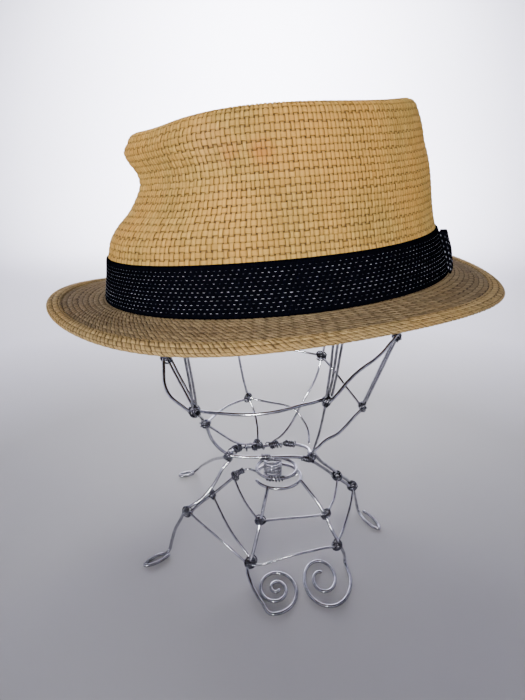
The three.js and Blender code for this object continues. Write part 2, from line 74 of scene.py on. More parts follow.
# Height of the wall's upper edge, as waves round the hat: turns, size.
RIM_WAVES = ((0, 86.4), (1, 1.8), (2, -1.2), (3, 0.7), (4, 0.7))
RIM_MEAN = 86.4

INSET, RISE = 1, 2
TIP_PROFILE = np.array([
    # reach along the meridian, inset, rise
    (88.0, 0.0, 0.0),
    (90.1, 0.9, 1.9),
    (92.7, 3.0, 3.5),
    (95.8, 6.0, 4.3),
    (99.7, 9.6, 3.0),
    (108.2, 15.0, -3.6),
    (116.0, 21.0, -8.6),
    (122.1, 27.0, -9.8),
])
TIP_MIDDLE = (2.0, 0.0)
TIP_FLOOR = -10.1
TIP_REACH = 50.0

# The brim's width outside the band and the height of its edge, as waves round the hat.
# skew is the part of a wave that differs between the hat's left and right.
WIDTH, LIFT, SKEW = 1, 2, 3
BRIM_WAVES = (
    # turns, width, lift, skew
    (0, 28.5, -5.0, 0.0),
    (1, 0.0, -1.8, 0.4),
    (2, 1.5, 1.7, 2.0),
    (3, -2.1, -4.3, 0.6),
)
BRIM_SAG = 1.2
HEM_WIDTH = 8
TAB_WIDTH = 12.5
TAB_TURN = math.radians(-18)
# The ribbon's keeper: height, and how far it stands out.
TAB_PROFILE = np.array([(0.8, 1.5), (4, 2.1), (10, 3.2), (15, 3.7), (23.4, 4.0)])

# Small steps for slopes, in radians and in tapes.
TURN_STEP = 0.002
TAPE_STEP = 0.02


def smooth(table, column, at):
    """A table's column at given places, on a smooth curve through its rows."""
    x, y = table[:, 0], table[:, column]
    slope = np.gradient(y, x)
    at = np.clip(np.asarray(at, float), x[0], x[-1])
    row = np.clip(np.searchsorted(x, at, side="right") - 1, 0, len(x) - 2)
    span = x[row + 1] - x[row]
    t = (at - x[row]) / span
    return ((2 * t**3 - 3 * t**2 + 1) * y[row] + (t**3 - 2 * t**2 + t) * span * slope[row]
            + (3 * t**2 - 2 * t**3) * y[row + 1] + (t**3 - t**2) * span * slope[row + 1])


def waves(table, column, turn, wave=np.cos):
    """A table's waves round the hat, added up; each row starts with its number of turns."""
    return sum(row[column] * wave(row[0] * turn) for row in table)


def offset_plan(plan, turn, distance):
    """A plan curve moved outwards by a distance, square to itself."""
    along = plan(turn + TURN_STEP) - plan(turn - TURN_STEP)
    along /= np.linalg.norm(along, axis=-1, keepdims=True)
    out = np.stack([along[..., 1], -along[..., 0]], -1)
    return plan(turn) + out * np.asarray(distance)[..., None]


def stand_up(points):
    """Points of the upright hat, in millimetres, as it leans on the stand, in metres."""
    c, s = math.cos(HAT_LEAN), math.sin(HAT_LEAN)
    x = points[..., 0] * c + points[..., 2] * s
    z = -points[..., 0] * s + points[..., 2] * c
    return (np.stack([x, points[..., 1], z], -1) + HAT_CENTRE) * MM


def crown_plan(height, turn):
    """The wall's outline at a height."""
    along = np.cos(turn)
    reach = np.where(along > 0, smooth(CROWN_SECTIONS, REAR, height),
                     smooth(CROWN_SECTIONS, FRONT, height))
    dent = np.exp(-(((along - PINCH_AT) / PINCH_SPREAD) ** 2))
    half = smooth(CROWN_SECTIONS, HALF, height)
    pinch = smooth(CROWN_SECTIONS, PINCH, height)
    return np.stack([reach * along, half * np.sin(turn) * (1 - pinch * dent)], -1)


def crown_point(height, turn, outward=0.0):
    """A point on the wall, or further outward from it."""
    height, turn = np.broadcast_arrays(np.asarray(height, float), turn)
    outward = np.broadcast_to(outward, turn.shape)
    flat = offset_plan(lambda t: crown_plan(height, t), turn, outward)
    rise = height * waves(RIM_WAVES, 1, turn) / CROWN_HEIGHT
    return np.concatenate([flat, rise[..., None]], -1)


def tip_point(reach, turn):
    """The crown's top, from the wall's upper edge inwards to its middle."""
    rim = crown_point(np.full(np.shape(turn), float(CROWN_HEIGHT)), turn)
    middle = np.array(TIP_MIDDLE)
    inward = middle - rim[..., :2]
    far = np.linalg.norm(inward, axis=-1)
    last = TIP_PROFILE[-1]
    inset = smooth(TIP_PROFILE, INSET, reach)
    rise = smooth(TIP_PROFILE, RISE, reach)
    inner = np.clip((reach - last[0]) / TIP_REACH, 0, 1)
    share = (inset + (far - last[1]) * inner) / far
    flat = rim[..., :2] + inward * share[..., None]
    blend = inner * inner * (3 - 2 * inner)
    height = (rim[..., 2] + rise) * (1 - blend) + (RIM_MEAN + TIP_FLOOR) * blend
    return np.concatenate([flat, height[..., None]], -1)


def meridian(reach, turn):
    """The crown from the brim up its wall, over the edge and in to the middle of its top."""
    reach, turn = np.broadcast_arrays(np.asarray(reach, float), turn)
    wall = crown_point(np.minimum(reach, CROWN_HEIGHT), turn)
    top = tip_point(np.maximum(reach, CROWN_HEIGHT), turn)
    return np.where((reach <= CROWN_HEIGHT)[..., None], wall, top)


def head_oval(turn):
    return np.stack([HEAD_HALF_LENGTH * np.cos(turn), HEAD_HALF_WIDTH * np.sin(turn)], -1)


def brim_width(turn):
    return waves(BRIM_WAVES, WIDTH, turn)


def brim_point(out, up, turn):
    """A point on the brim's upper face, out from the band, then raised by up."""
    out, turn = np.broadcast_arrays(np.asarray(out, float), turn)
    flat = offset_plan(head_oval, turn, out)
    share = np.maximum(out, 0) / brim_width(turn)
    lift = waves(BRIM_WAVES, LIFT, turn) + waves(BRIM_WAVES, SKEW, turn, np.sin)
    rise = lift * share**BRIM_SAG + up
    return np.concatenate([flat, np.broadcast_to(rise, turn.shape)[..., None]], -1)


class Patchwork:
    """Grids of points gathered into one mesh.

    Each point keeps a tone, and its place along and across its strand with how much painted shade
    it gets."""

    def __init__(self):
        self.points, self.faces, self.tones, self.strands = [], [], [], []
        self.count = 0

    def grid(self, points, tone=0.0, lengths=None, painted_shade=0.0, closed=False,
             across_closed=False, flip=False):
        """points is rows by columns by 3; closed joins the last row to the first."""
        rows, columns = points.shape[:2]
        index = self.count + np.arange(rows * columns).reshape(rows, columns)
        if closed:
            index = np.vstack([index, index[:1]])
        if across_closed:
            index = np.hstack([index, index[:, :1]])
        if flip:
            index = index[:, ::-1]
        a, b = index[:-1, :-1], index[:-1, 1:]
        c, d = index[1:, 1:], index[1:, :-1]
        self.faces.append(np.stack([a, b, c, d], -1).reshape(-1, 4))
        self.points.append(points.reshape(-1, 3))
        self.tones.append(np.broadcast_to(tone, (rows, columns)).ravel())
        if lengths is None:
            lengths = np.zeros((rows, columns, 2))
        painted_shade = np.broadcast_to(painted_shade, (rows, columns))[..., None]
        self.strands.append(np.concatenate([lengths, painted_shade], -1).reshape(-1, 3))
        self.count += rows * columns

    def build(self, name):
        points = np.concatenate(self.points)
        faces = np.concatenate(self.faces)
        mesh = bpy.data.meshes.new(name)
        mesh.vertices.add(len(points))
        mesh.vertices.foreach_set("co", points.astype(np.float32).ravel())
        mesh.loops.add(faces.size)
        mesh.loops.foreach_set("vertex_index", faces.astype(np.int32).ravel())
        mesh.polygons.add(len(faces))
        mesh.polygons.foreach_set("loop_start", np.arange(0, faces.size, 4, dtype=np.int32))
        mesh.update(calc_edges=True)
        mesh.validate()
        mesh.shade_smooth()
        tone = mesh.attributes.new("tone", "FLOAT", "POINT")
        tone.data.foreach_set("value", np.concatenate(self.tones).astype(np.float32))
        strand = mesh.attributes.new("strand", "FLOAT_VECTOR", "POINT")
        strand.data.foreach_set(
            "vector", np.concatenate(self.strands).astype(np.float32).ravel())
        piece = bpy.data.objects.new(name, mesh)
        bpy.context.scene.collection.objects.link(piece)
        return piece


def add_piece(patchwork, name, slot, material, *stands_for):
    piece = patchwork.build(name)
    piece.data.materials.append(material)
    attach(piece, BODY)
    if stands_for:
        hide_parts(*stands_for)
    return piece


# One tape's section: place across it, fall below its middle, and how much painted shade it gets.
TAPE_SECTION = np.array([
    (-1.0, 0.5, 1.0), (-0.78, 0.05, 0.12), (0.78, 0.05, 0.12), (1.0, 0.5, 1.0)])
# Where a tape is given its points, from one midway place between crossings to the next.
FINE_STOPS = np.array([0.0, 0.14, 0.5, 0.86])
FLAT_STOPS = np.array([0.0, 0.28, 0.72])
COARSE_STOPS = np.array([0.0, 0.5])

# How round the tops of the tapes are, and from what level down they get painted shade.
ROUNDNESS = 0.12
SHADED_BELOW = 0.45
SHADE_DEPTH = 0.75
# A tape's wander, in tapes, slow and as a whole, and how much it varies in width.
ROUND_TAPES = {"wander": 0.08, "offset": 0.035, "swell": 0.07}
UPRIGHT_TAPES = {"wander": 0.055, "offset": 0.045, "swell": 0.08}
# How much tapes vary in tone: at each crossing and slowly along them, and between uprights.
TONE_VARIES = 0.3
UPRIGHT_SPREAD = 0.25
# Over so many columns, a closed tape eases back to where it began.
EASE_COLUMNS = 6


def dive(phase, lean=0.0):
    """Over and under, with flat tops: about 1 at phase 0, -1 at phase 1.

    lean is how much longer a tape stays over than under."""
    wave = np.cos(np.pi * phase) + lean
    return wave / np.sqrt(wave * wave + ROUNDNESS) * math.sqrt(1 + ROUNDNESS)


def drift(seed, at, size):
    """A slow wander along a tape."""
    made = sum(np.sin(at * pace + seed.uniform(0, 2 * math.pi)) * share
               for pace, share in ((0.11, 0.5), (0.29, 0.35), (0.83, 0.3)))
    return size * made


def raised(surface, column, row, level):
    """A surface's points moved along its normal by a level."""
    column, row = np.broadcast_arrays(np.asarray(column, float), row)
    ahead = surface(column + TAPE_STEP, row) - surface(column - TAPE_STEP, row)
    up = surface(column, row + TAPE_STEP) - surface(column, row - TAPE_STEP)
    normal = np.cross(ahead, up)
    normal /= np.maximum(np.linalg.norm(normal, axis=-1, keepdims=True), 1e-9)
    return surface(column, row) + normal * np.broadcast_to(level, column.shape)[..., None]


def tape_shade_paint(over, shade):
    """How much painted shade a tape gets, from its level and its section: 1 deepest down between
    the tapes.
    """
    return np.clip(shade + np.clip((SHADED_BELOW - over) / SHADE_DEPTH, 0, 1), 0, 1)


def tape_line(seed, at, crossings, stops, width, wander, offset, swell):
    """How far a tape strays sideways and its half width, at places along it."""
    aside = drift(seed, at, wander) + seed.normal(0, offset)
    swells = np.repeat(seed.normal(0, swell, crossings + 1), len(stops))[:len(at)]
    half = width / 2 * (1 + (drift(seed, at * 1.7, swell) + swells))
    return aside, half


def tape_tones(seed, at, crossings, stops, tone, spread):
    """A tape's tone at places along it."""
    floats = np.repeat(seed.normal(0, TONE_VARIES, crossings + 1), len(stops))[:len(at)]
    return tone + seed.normal(0, spread) + drift(seed, at * 0.9, TONE_VARIES) + floats


def weave(work, surface, columns, rows, pitch, seed_number, side=1, stops=FINE_STOPS,
          tape=(0.67, 0.87), height=0.34, round_closed=True, tone=0.0, spread=0.25, lean=0.0):
    """Plain weave over surface(column, row), which gives points.

    pitch is the usual spacing of columns and rows, tape the share of it that a tape covers,
    side is -1 where the weave faces against the surface's normal, spread is how much the
    rows differ in tone, and lean how much longer tapes stay over than under."""
    seed = np.random.RandomState(seed_number)
    across, fall, shade = TAPE_SECTION.T

    # Tapes that run round, one for each row.
    for j in range(rows):
        u = (np.arange(columns)[:, None] + stops).ravel()
        if not round_closed:
            u = np.append(u, columns)
        aside, half = tape_line(seed, u, columns, stops, tape[1], **ROUND_TAPES)
        if round_closed:
            ease = np.minimum(1, np.minimum(u, columns - u) / EASE_COLUMNS)
            aside, half = aside * ease, tape[1] / 2 + (half - tape[1] / 2) * ease
        row = j + 0.5 + aside[:, None] + half[:, None] * across
        over = dive(u - 0.5 + j, lean)[:, None]
        level = side * (height * over - fall)
        painted_shade = tape_shade_paint(over, shade)
        column = np.broadcast_to(u[:, None], row.shape)
        tones = tape_tones(seed, u, columns, stops, tone, spread)
        lengths = np.stack([column * pitch[0], (row - j - 0.5) * pitch[1]], -1)
        points = stand_up(raised(surface, column, row, level))
        work.grid(points, tones[:, None], lengths, painted_shade, closed=round_closed, flip=side > 0)

    # Tapes that run up, one for each column.
    for i in range(columns):
        v = np.append((np.arange(rows)[:, None] + stops).ravel(), rows)
        aside, half = tape_line(seed, v, rows, stops, tape[0], **UPRIGHT_TAPES)
        column = i + 0.5 + aside[:, None] + half[:, None] * across
        over = dive(v + 0.5 + i, lean)[:, None]
        level = side * (height * over - fall)
        painted_shade = tape_shade_paint(over, shade)
        row = np.broadcast_to(v[:, None], column.shape)
        tones = tape_tones(seed, v, rows, stops, tone, UPRIGHT_SPREAD)
        lengths = np.stack([row * pitch[1], (column - i - 0.5) * pitch[0]], -1)
        points = stand_up(raised(surface, column, row, level))
        work.grid(points, tones[:, None], lengths, painted_shade, flip=side < 0)
    return work


# The crown: upright tapes and rows of its wall, of its rolled edge and of the rings on top.
WALL_COLUMNS = 232
WALL_ROWS = 21
WALL_START = 21.0
WALL_PITCH = 3.3
EDGE_ROWS = 9
TOP_RINGS = ((116, 6), (58, 5), (28, 4))
ROW_PITCH = 3.15
WALL_COLUMN_PITCH = 2.4
EDGE_COLUMN_PITCH = 2.2
TOP_COLUMN_PITCH = 2.6
MIDDLE_TAPES = 4
MIDDLE_PITCH = 3.2
MIDDLE_LIFT = 0.9
EDGE_TONE = -0.1
TOP_TONE = -0.15
# How much closer than usual the upright tapes stand at the back, and further at the front.
CROWDING = 0.33
# The crown's tapes lie close: wide, and over for longer than under.
CLOSE = {"tape": (0.74, 0.8), "lean": 0.07}
# The weave's inner face, and the dark layer between its faces: a sheet of painted shade seen
# through the gaps.
INSIDE_DEPTH = 1.35
INSIDE_HEIGHT = 0.2
SHADE_LAYER_DEPTHS = (0.75, 1.15)
SHADE_LAYER_START, SHADE_LAYER_END = 2, 172
SHADE_LAYER_COLUMNS = 240


def crowded(share):
    """The turn of a tape, from its share of all the tapes counted from the back."""
    even = 2 * np.pi * np.asarray(share, float)
    turn = even
    for _ in range(5):
        turn = turn - (turn + CROWDING * np.sin(turn) - even) / (1 + CROWDING * np.cos(turn))
    return turn


def ring_surface(columns, start, inward=0.0, pitch=ROW_PITCH):
    """The crown's surface in tapes and rows, or a layer of it further in."""
    def outer(column, row):
        turn = crowded(np.asarray(column) / columns)
        return meridian(start + np.asarray(row) * pitch, turn)

    if not inward:
        return outer
    return lambda column, row: raised(outer, column, row, -inward)


def wall_weave(inward=0.0, **looks):
    surface = ring_surface(WALL_COLUMNS, WALL_START, inward, WALL_PITCH)
    looks = {"stops": FLAT_STOPS, **CLOSE, **looks}
    return weave(Patchwork(), surface, WALL_COLUMNS, WALL_ROWS, (WALL_COLUMN_PITCH, WALL_PITCH),
                 11, **looks)


def edge_weave():
    """The crown's rolled upper edge and the slope down into its top."""
    surface = ring_surface(WALL_COLUMNS, WALL_START + WALL_ROWS * WALL_PITCH)
    return weave(Patchwork(), surface, WALL_COLUMNS, EDGE_ROWS, (EDGE_COLUMN_PITCH, ROW_PITCH),
                 12, stops=FLAT_STOPS, tone=EDGE_TONE, **CLOSE)


def top_weave():
    """Rings of fewer and fewer tapes, in to a small square of weave in the middle."""
    work = Patchwork()
    start = WALL_START + WALL_ROWS * WALL_PITCH + EDGE_ROWS * ROW_PITCH
    for number, (columns, rows) in enumerate(TOP_RINGS):
        surface = ring_surface(columns, start)
        weave(work, surface, columns, rows, (TOP_COLUMN_PITCH, ROW_PITCH), 13 + number,
              stops=FLAT_STOPS, tone=TOP_TONE, **CLOSE)
        start += rows * ROW_PITCH

    def middle(column, row):
        x = (np.asarray(column) - MIDDLE_TAPES / 2) * MIDDLE_PITCH + TIP_MIDDLE[0]
        y = (np.asarray(row) - MIDDLE_TAPES / 2) * MIDDLE_PITCH
        x, y = np.broadcast_arrays(x, y)
        return np.stack([x, y, np.full(x.shape, RIM_MEAN + TIP_FLOOR + MIDDLE_LIFT)], -1)

    weave(work, middle, MIDDLE_TAPES, MIDDLE_TAPES, (MIDDLE_PITCH, MIDDLE_PITCH), 17,
          round_closed=False, tone=TOP_TONE)
    return work


def crown_shade_layer():
    """A thin dark sheet of painted shade between the weave's two faces, so that no light comes
    through.
    """
    work = Patchwork()
    turns = np.arange(SHADE_LAYER_COLUMNS) / SHADE_LAYER_COLUMNS
    reach = np.concatenate([np.linspace(SHADE_LAYER_START, CROWN_HEIGHT, 30),
                            np.linspace(CROWN_HEIGHT + 1, SHADE_LAYER_END, 34)])
    rows = (reach - WALL_START) / ROW_PITCH
    surface = ring_surface(1, WALL_START)
    for depth, flip in zip(SHADE_LAYER_DEPTHS, (True, False)):
        points = raised(surface, turns[:, None], rows[None, :], -depth)
        work.grid(stand_up(points), closed=True, flip=flip)
    return work


# The brim. Its slant is how many columns the upright tapes move round for each row.
BRIM_ROWS = 9
BRIM_COLUMNS = 222
BRIM_START = -3.0
BRIM_SLANT = 1.0
BRIM_PITCH = (2.8, 2.7)
BRIM_LOOKS = {"height": 0.24, "tape": (0.78, 0.88), "spread": 0.6}
BRIM_UPPER, BRIM_LOWER = -0.3, -1.5
# The brim's dark sheet of painted shade: its levels, and its columns round, which the hem's sheet
# uses too.
BRIM_SHADE_LAYER_LEVELS = (-0.75, -1.05)
SHADE_LAYER_ROUND = 240
# The hem round its edge, a closed section: out from its inner side, and up.
HEM_CREASE = 0.25
HEM_ROWS = 8
HEM_COLUMNS = 276
HEM_SLANT = 0.8
HEM_PITCH = (2.6, 2.4)
HEM_LOOKS = {"height": 0.2, "tape": (0.8, 0.9), "spread": 0.5}
# How much smaller the hem's dark sheet of painted shade is than its section.
HEM_SHADE_LAYER_SHRINK = 0.16
HEM_SECTION = np.array([(0.2, 0.0), (1.5, 0.55), (4.2, 0.75), (6.8, 0.45), (8.0, -0.5),
                        (7.7, -1.5), (6.2, -2.1), (3.2, -2.1), (0.3, -1.8)])


def brim_surface(up):
    def surface(column, row):
        turn = 2 * np.pi * (np.asarray(column) + BRIM_SLANT * np.asarray(row)) / BRIM_COLUMNS
        inner = brim_width(turn) - HEM_WIDTH - HEM_CREASE
        out = BRIM_START + (inner - BRIM_START) * np.asarray(row) / BRIM_ROWS
        return brim_point(out, up, turn)
    return surface


def brim_weave(up, seed_number, side):
    return weave(Patchwork(), brim_surface(up), BRIM_COLUMNS, BRIM_ROWS, BRIM_PITCH,
                 seed_number, side, **BRIM_LOOKS)


def brim_shade_layer():
    """A thin dark sheet of painted shade between the brim's two faces, and a little way under the
    hem.
    """
    work = Patchwork()
    rows = np.linspace(0, BRIM_ROWS + 0.6, 12)
    columns = np.arange(SHADE_LAYER_ROUND) * BRIM_COLUMNS / SHADE_LAYER_ROUND
    for up, flip in zip(BRIM_SHADE_LAYER_LEVELS, (False, True)):
        points = brim_surface(up)(columns[:, None], rows[None, :])
        work.grid(stand_up(points), closed=True, flip=flip)
    return work


def between(p0, p1, p2, p3, t):
    """A place on the smooth curve from p1 to p2."""
    return 0.5 * (2 * p1 + (p2 - p0) * t + (2 * p0 - 5 * p1 + 4 * p2 - p3) * t**2
                  + (3 * p1 - p0 - 3 * p2 + p3) * t**3)


def loop_at(table, place):
    """A closed smooth curve through a table's rows; place counts rows."""
    count = len(table)
    place = np.asarray(place, float) % count
    row = np.floor(place).astype(int)
    t = (place - row)[..., None]
    return between(*(table[(row + k) % count] for k in (-1, 0, 1, 2)), t)


def hem_surface(shrink=0.0):
    middle = HEM_SECTION.mean(0)

    def surface(column, row):
        column, row = np.broadcast_arrays(np.asarray(column, float), row)
        turn = 2 * np.pi * (column + HEM_SLANT * row) / HEM_COLUMNS
        section = loop_at(HEM_SECTION, row * len(HEM_SECTION) / HEM_ROWS)
        section = middle + (section - middle) * (1 - shrink)
        return brim_point(brim_width(turn) - HEM_WIDTH + section[..., 0], section[..., 1], turn)
    return surface


def hem_weave():
    return weave(Patchwork(), hem_surface(), HEM_COLUMNS, HEM_ROWS, HEM_PITCH, 31, side=-1,
                 **HEM_LOOKS)


def hem_shade_layer():
    """A dark sheet of painted shade inside the hem's tapes."""
    work = Patchwork()
    rows = np.arange(24) * HEM_ROWS / 24
    columns = np.arange(SHADE_LAYER_ROUND) * HEM_COLUMNS / SHADE_LAYER_ROUND
    points = hem_surface(HEM_SHADE_LAYER_SHRINK)(columns[:, None], rows[None, :])
    work.grid(stand_up(points), closed=True, across_closed=True)
    return work


# The ribbon, its dashes and its keeper. The section is closed: height, and out from the crown.
RIBBON_SECTION = np.array([(0.55, 0.35), (0.5, 0.9), (0.75, 1.35), (3.0, 1.45), (9.0, 1.4),
                           (14.0, 1.45), (20.0, 1.45), (23.6, 1.5), (24.45, 1.3), (24.6, 0.8),
                           (24.3, 0.35), (14.0, 0.3)])
RIBBON_OUT = 1.4
# How the ribbon strays from a true oval: turns, start, size.
RIBBON_WAVES = ((5, 1.0, 0.12), (11, 0.0, 0.08), (23, 0.0, 0.04))
GIRTH_RADIUS = 95
DASH_ROWS = 11
DASH_ROW_PITCH = 1.95
DASH_FIRST = 2.8
DASHES_ROUND = 202
DASH_SHIFT = 0.38
DASH_SIZE = (1.32, 0.23)
# One dash or dot as a low rounded bead, from -1 to 1 along and across it.
BEAD_ALONG = np.linspace(-1, 1, 5)[:, None]
BEAD_ACROSS = np.linspace(-1, 1, 4)[None, :]
BEAD_FULLNESS = np.sqrt(np.clip(1 - 0.75 * BEAD_ALONG**2, 0, 1))
BEAD_BULGE = 0.16 * (1 - BEAD_ALONG**2) * (1 - BEAD_ACROSS**2)


def ribbon_wave(turn):
    return sum(size * np.sin(turns * turn + start) for turns, start, size in RIBBON_WAVES)


def ribbon():
    work = Patchwork()
    turns = 2 * np.pi * np.arange(360) / 360
    section = loop_at(RIBBON_SECTION, np.arange(48) / 4)
    turn, height = np.broadcast_arrays(turns[:, None], section[None, :, 0])
    outward = section[None, :, 1] + 0 * turn
    free = np.clip(outward - 0.3, 0, 1)
    points = crown_point(height, turn, outward + free * ribbon_wave(turn))
    lengths = np.stack([turn * GIRTH_RADIUS, height], -1)
    work.grid(stand_up(points), 0.0, lengths, closed=True, across_closed=True)
    return work


def dashes():
    """Short pale stitches in slanting rows, each a low rounded bead."""
    work = Patchwork()
    seed = np.random.RandomState(41)
    for k in range(DASH_ROWS):
        height = BAND_HEIGHT - DASH_FIRST - k * DASH_ROW_PITCH + 0.4
        for j in range(DASHES_ROUND):
            turn = 2 * np.pi * (j - DASH_SHIFT * k + seed.normal(0, 0.03)) / DASHES_ROUND
            size = DASH_SIZE[0] * seed.uniform(0.85, 1.1) / 2 / GIRTH_RADIUS
            thick = DASH_SIZE[1] * seed.uniform(0.85, 1.1) / 2
            turns = turn + BEAD_ALONG * size + 0 * BEAD_ACROSS
            heights = height + BEAD_ACROSS * BEAD_FULLNESS * thick + seed.normal(0, 0.015)
            outward = RIBBON_OUT + ribbon_wave(turns) + BEAD_BULGE
            points = crown_point(heights, turns, outward)
            lengths = np.stack([turns * GIRTH_RADIUS, heights], -1)
            work.grid(stand_up(points), seed.normal(0, 0.8), lengths, flip=True)
    return work


TAB_SEAT = GAP + BAND_THICKNESS + GAP


def tab_frame():
    """Foot of the keeper on the band, its outward direction and its sideways direction."""
    foot = crown_point(np.array(0.0), np.array(TAB_TURN), TAB_SEAT)
    facing = crown_point(np.array(0.0), np.array(TAB_TURN), TAB_SEAT + 1.0) - foot
    facing[2] = 0
    facing /= np.linalg.norm(facing)
    return foot, facing, np.array([-facing[1], facing[0], 0])


def tab_front(height):
    """How far the keeper's outer face stands from its foot at a height."""
    foot, facing, _ = tab_frame()
    behind = crown_point(np.asarray(height, float), np.full(np.shape(height), TAB_TURN), TAB_SEAT)
    return (behind - foot) @ facing, smooth(TAB_PROFILE, 1, height)


# The keeper's section: share of its depth, and share of its half width.
KEEPER_SECTION = np.array([
    (0, -1.0), (0.25, -1.0), (0.8, -1.0), (1.0, -0.93), (1.0, -0.5), (1.0, 0.0),
    (1.0, 0.5), (1.0, 0.93), (0.8, 1.0), (0.25, 1.0), (0, 1.0), (0.0, 0.0)])
KEEPER_HEIGHTS = np.linspace(0.9, 23.4, 26)
KEEPER_INSETS = (0.35, 0.1)
END_SHRINK = 0.02
# The keeper's columns of dots: the face they are on, and their place across it.
KEEPER_COLUMNS = (("front", -4.4), ("front", -0.6), ("front", 3.2), ("side", 0.3), ("side", 0.8))
DOTS_UP = 7
DOT_START, DOT_PITCH = 2.6, 2.95
DOT_HALF_SIZE = (0.62, 0.28)
DOT_SUNK = 0.02


def keeper():
    """A fold of ribbon over the band's join: a full loop, closed at both ends."""
    work = Patchwork()
    foot, facing, aside = tab_frame()
    seat, out = tab_front(KEEPER_HEIGHTS)
    rows = []
    for k, height in enumerate(KEEPER_HEIGHTS):
        end = min(k, len(KEEPER_HEIGHTS) - 1 - k)
        inset = KEEPER_INSETS[end] if end < len(KEEPER_INSETS) else 0.0
        depth = out[k] + 0.12 * math.sin(height * 0.6)
        place = foot + np.array([0, 0, height])
        reach = seat[k] + inset + KEEPER_SECTION[:, 0] * (depth - 2 * inset)
        side = KEEPER_SECTION[:, 1] * (TAB_WIDTH / 2 - inset)
        rows.append(place + reach[:, None] * facing + side[:, None] * aside)
    ends = [row.mean(0) + (row - row.mean(0)) * END_SHRINK for row in (rows[0], rows[-1])]
    points = np.array([ends[0], *rows, ends[1]])
    lengths = np.stack(np.broadcast_arrays(np.linspace(0, 24, len(points))[:, None],
                                           KEEPER_SECTION[:, 1] * 6), -1)
    work.grid(stand_up(points), 0.0, lengths, across_closed=True)
    return work


def keeper_dots():
    work = Patchwork()
    seed = np.random.RandomState(43)
    foot, facing, aside = tab_frame()
    half_length, half_width = DOT_HALF_SIZE
    for column, (face, place) in enumerate(KEEPER_COLUMNS):
        for k in range(DOTS_UP):
            height = DOT_START + DOT_PITCH * k + seed.normal(0, 0.08) + column * 1.3 % 2.2
            heights = height + BEAD_ALONG * half_length + 0 * BEAD_ACROSS
            seat, out = tab_front(heights)
            if face == "front":
                reach = seat + out - DOT_SUNK + BEAD_BULGE
                side = place + BEAD_ACROSS * BEAD_FULLNESS * half_width
            else:
                reach = seat + out * place + BEAD_ACROSS * BEAD_FULLNESS * half_width
                side = -(TAB_WIDTH / 2 - DOT_SUNK + BEAD_BULGE)
            points = foot + reach[..., None] * facing + side[..., None] * aside
            points[..., 2] = foot[2] + heights
            work.grid(stand_up(points), seed.normal(-0.6, 0.5),
                      np.stack([heights, side], -1), flip=face == "side")
    return work


# The stand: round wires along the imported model's six-sided ones. These are half thicknesses.
MAIN = 1.1
THIN = 0.8
TIE = 0.5
SECTION_CORNERS = 6
# Corners this close, in metres, are one, and faces this alike in direction are one flat.
# An end's corners stand equally far from its middle.
SAME_PLACE = 0.5e-6
SAME_FLAT = 0.99999
UNEVEN_SECTION = 0.02
# The wire's rounded ends: how far out each ring stands, and its size, as shares of the radius.
TUBE_CAPS = ((0.75, 0.66), (1.0, 0.05))
TUBE_SIDE = (0.31, 0.21, 0.93)


def wire_line(node):
    """Middle line of a packed wire, in metres, and its reach to a corner of its section."""
    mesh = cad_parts[node].data
    corners = {}
    index = []
    for vertex in mesh.vertices:
        key = tuple(round(c / SAME_PLACE) for c in vertex.co)
        index.append(corners.setdefault(key, len(corners)))
    places = np.zeros((len(corners), 3))
    for vertex, number in zip(mesh.vertices, index):
        places[number] = vertex.co
    joined = [set() for _ in corners]
    mesh.calc_loop_triangles()
    flats = {}
    for triangle in mesh.loop_triangles:
        a, b, c = (index[v] for v in triangle.vertices)
        for one, other in ((a, b), (b, c), (c, a)):
            joined[one].add(other)
            joined[other].add(one)
        flats[frozenset((a, b, c))] = triangle.normal.copy()
    first = ring = end_ring(places, flats)
    lines, seen = [], set()
    while ring:
        lines.append(places[sorted(ring)].mean(0))
        seen |= ring
        ring = {n for v in ring for n in joined[v]} - seen
    reach = np.linalg.norm(places[sorted(first)] - lines[0], axis=1).mean()
    return np.array(lines), reach


def end_ring(places, flats):
    """The six corners of one end of a wire: four triangles that lie flat round one middle."""
    by_corner = {}
    for triangle in flats:
        for corner in triangle:
            by_corner.setdefault(corner, []).append(triangle)
    for first, normal in flats.items():
        ring, grown = set(first), True
        while grown:
            grown = False
            for corner in list(ring):
                for other in by_corner[corner]:
                    if not other <= ring and len(other & ring) == 2 \
                            and flats[other].dot(normal) > SAME_FLAT:
                        ring |= other
                        grown = True
            if len(ring) > SECTION_CORNERS:
                break
        if len(ring) == SECTION_CORNERS:
            spot = places[sorted(ring)]
            far = np.linalg.norm(spot - spot.mean(0), axis=1)
            if np.ptp(far) < UNEVEN_SECTION * far.mean():
                return ring
    raise ValueError("a wire has no end")


def finer(points, times):
    """A smooth curve through points, with so many stops for each of them."""
    padded = np.vstack([2 * points[0] - points[1], points, 2 * points[-1] - points[-2]])
    out = []
    for k in range(1, len(padded) - 2):
        p0, p1, p2, p3 = padded[k - 1:k + 3]
        out += [between(p0, p1, p2, p3, t) for t in np.arange(times) / times]
    return np.array([*out, points[-1]])


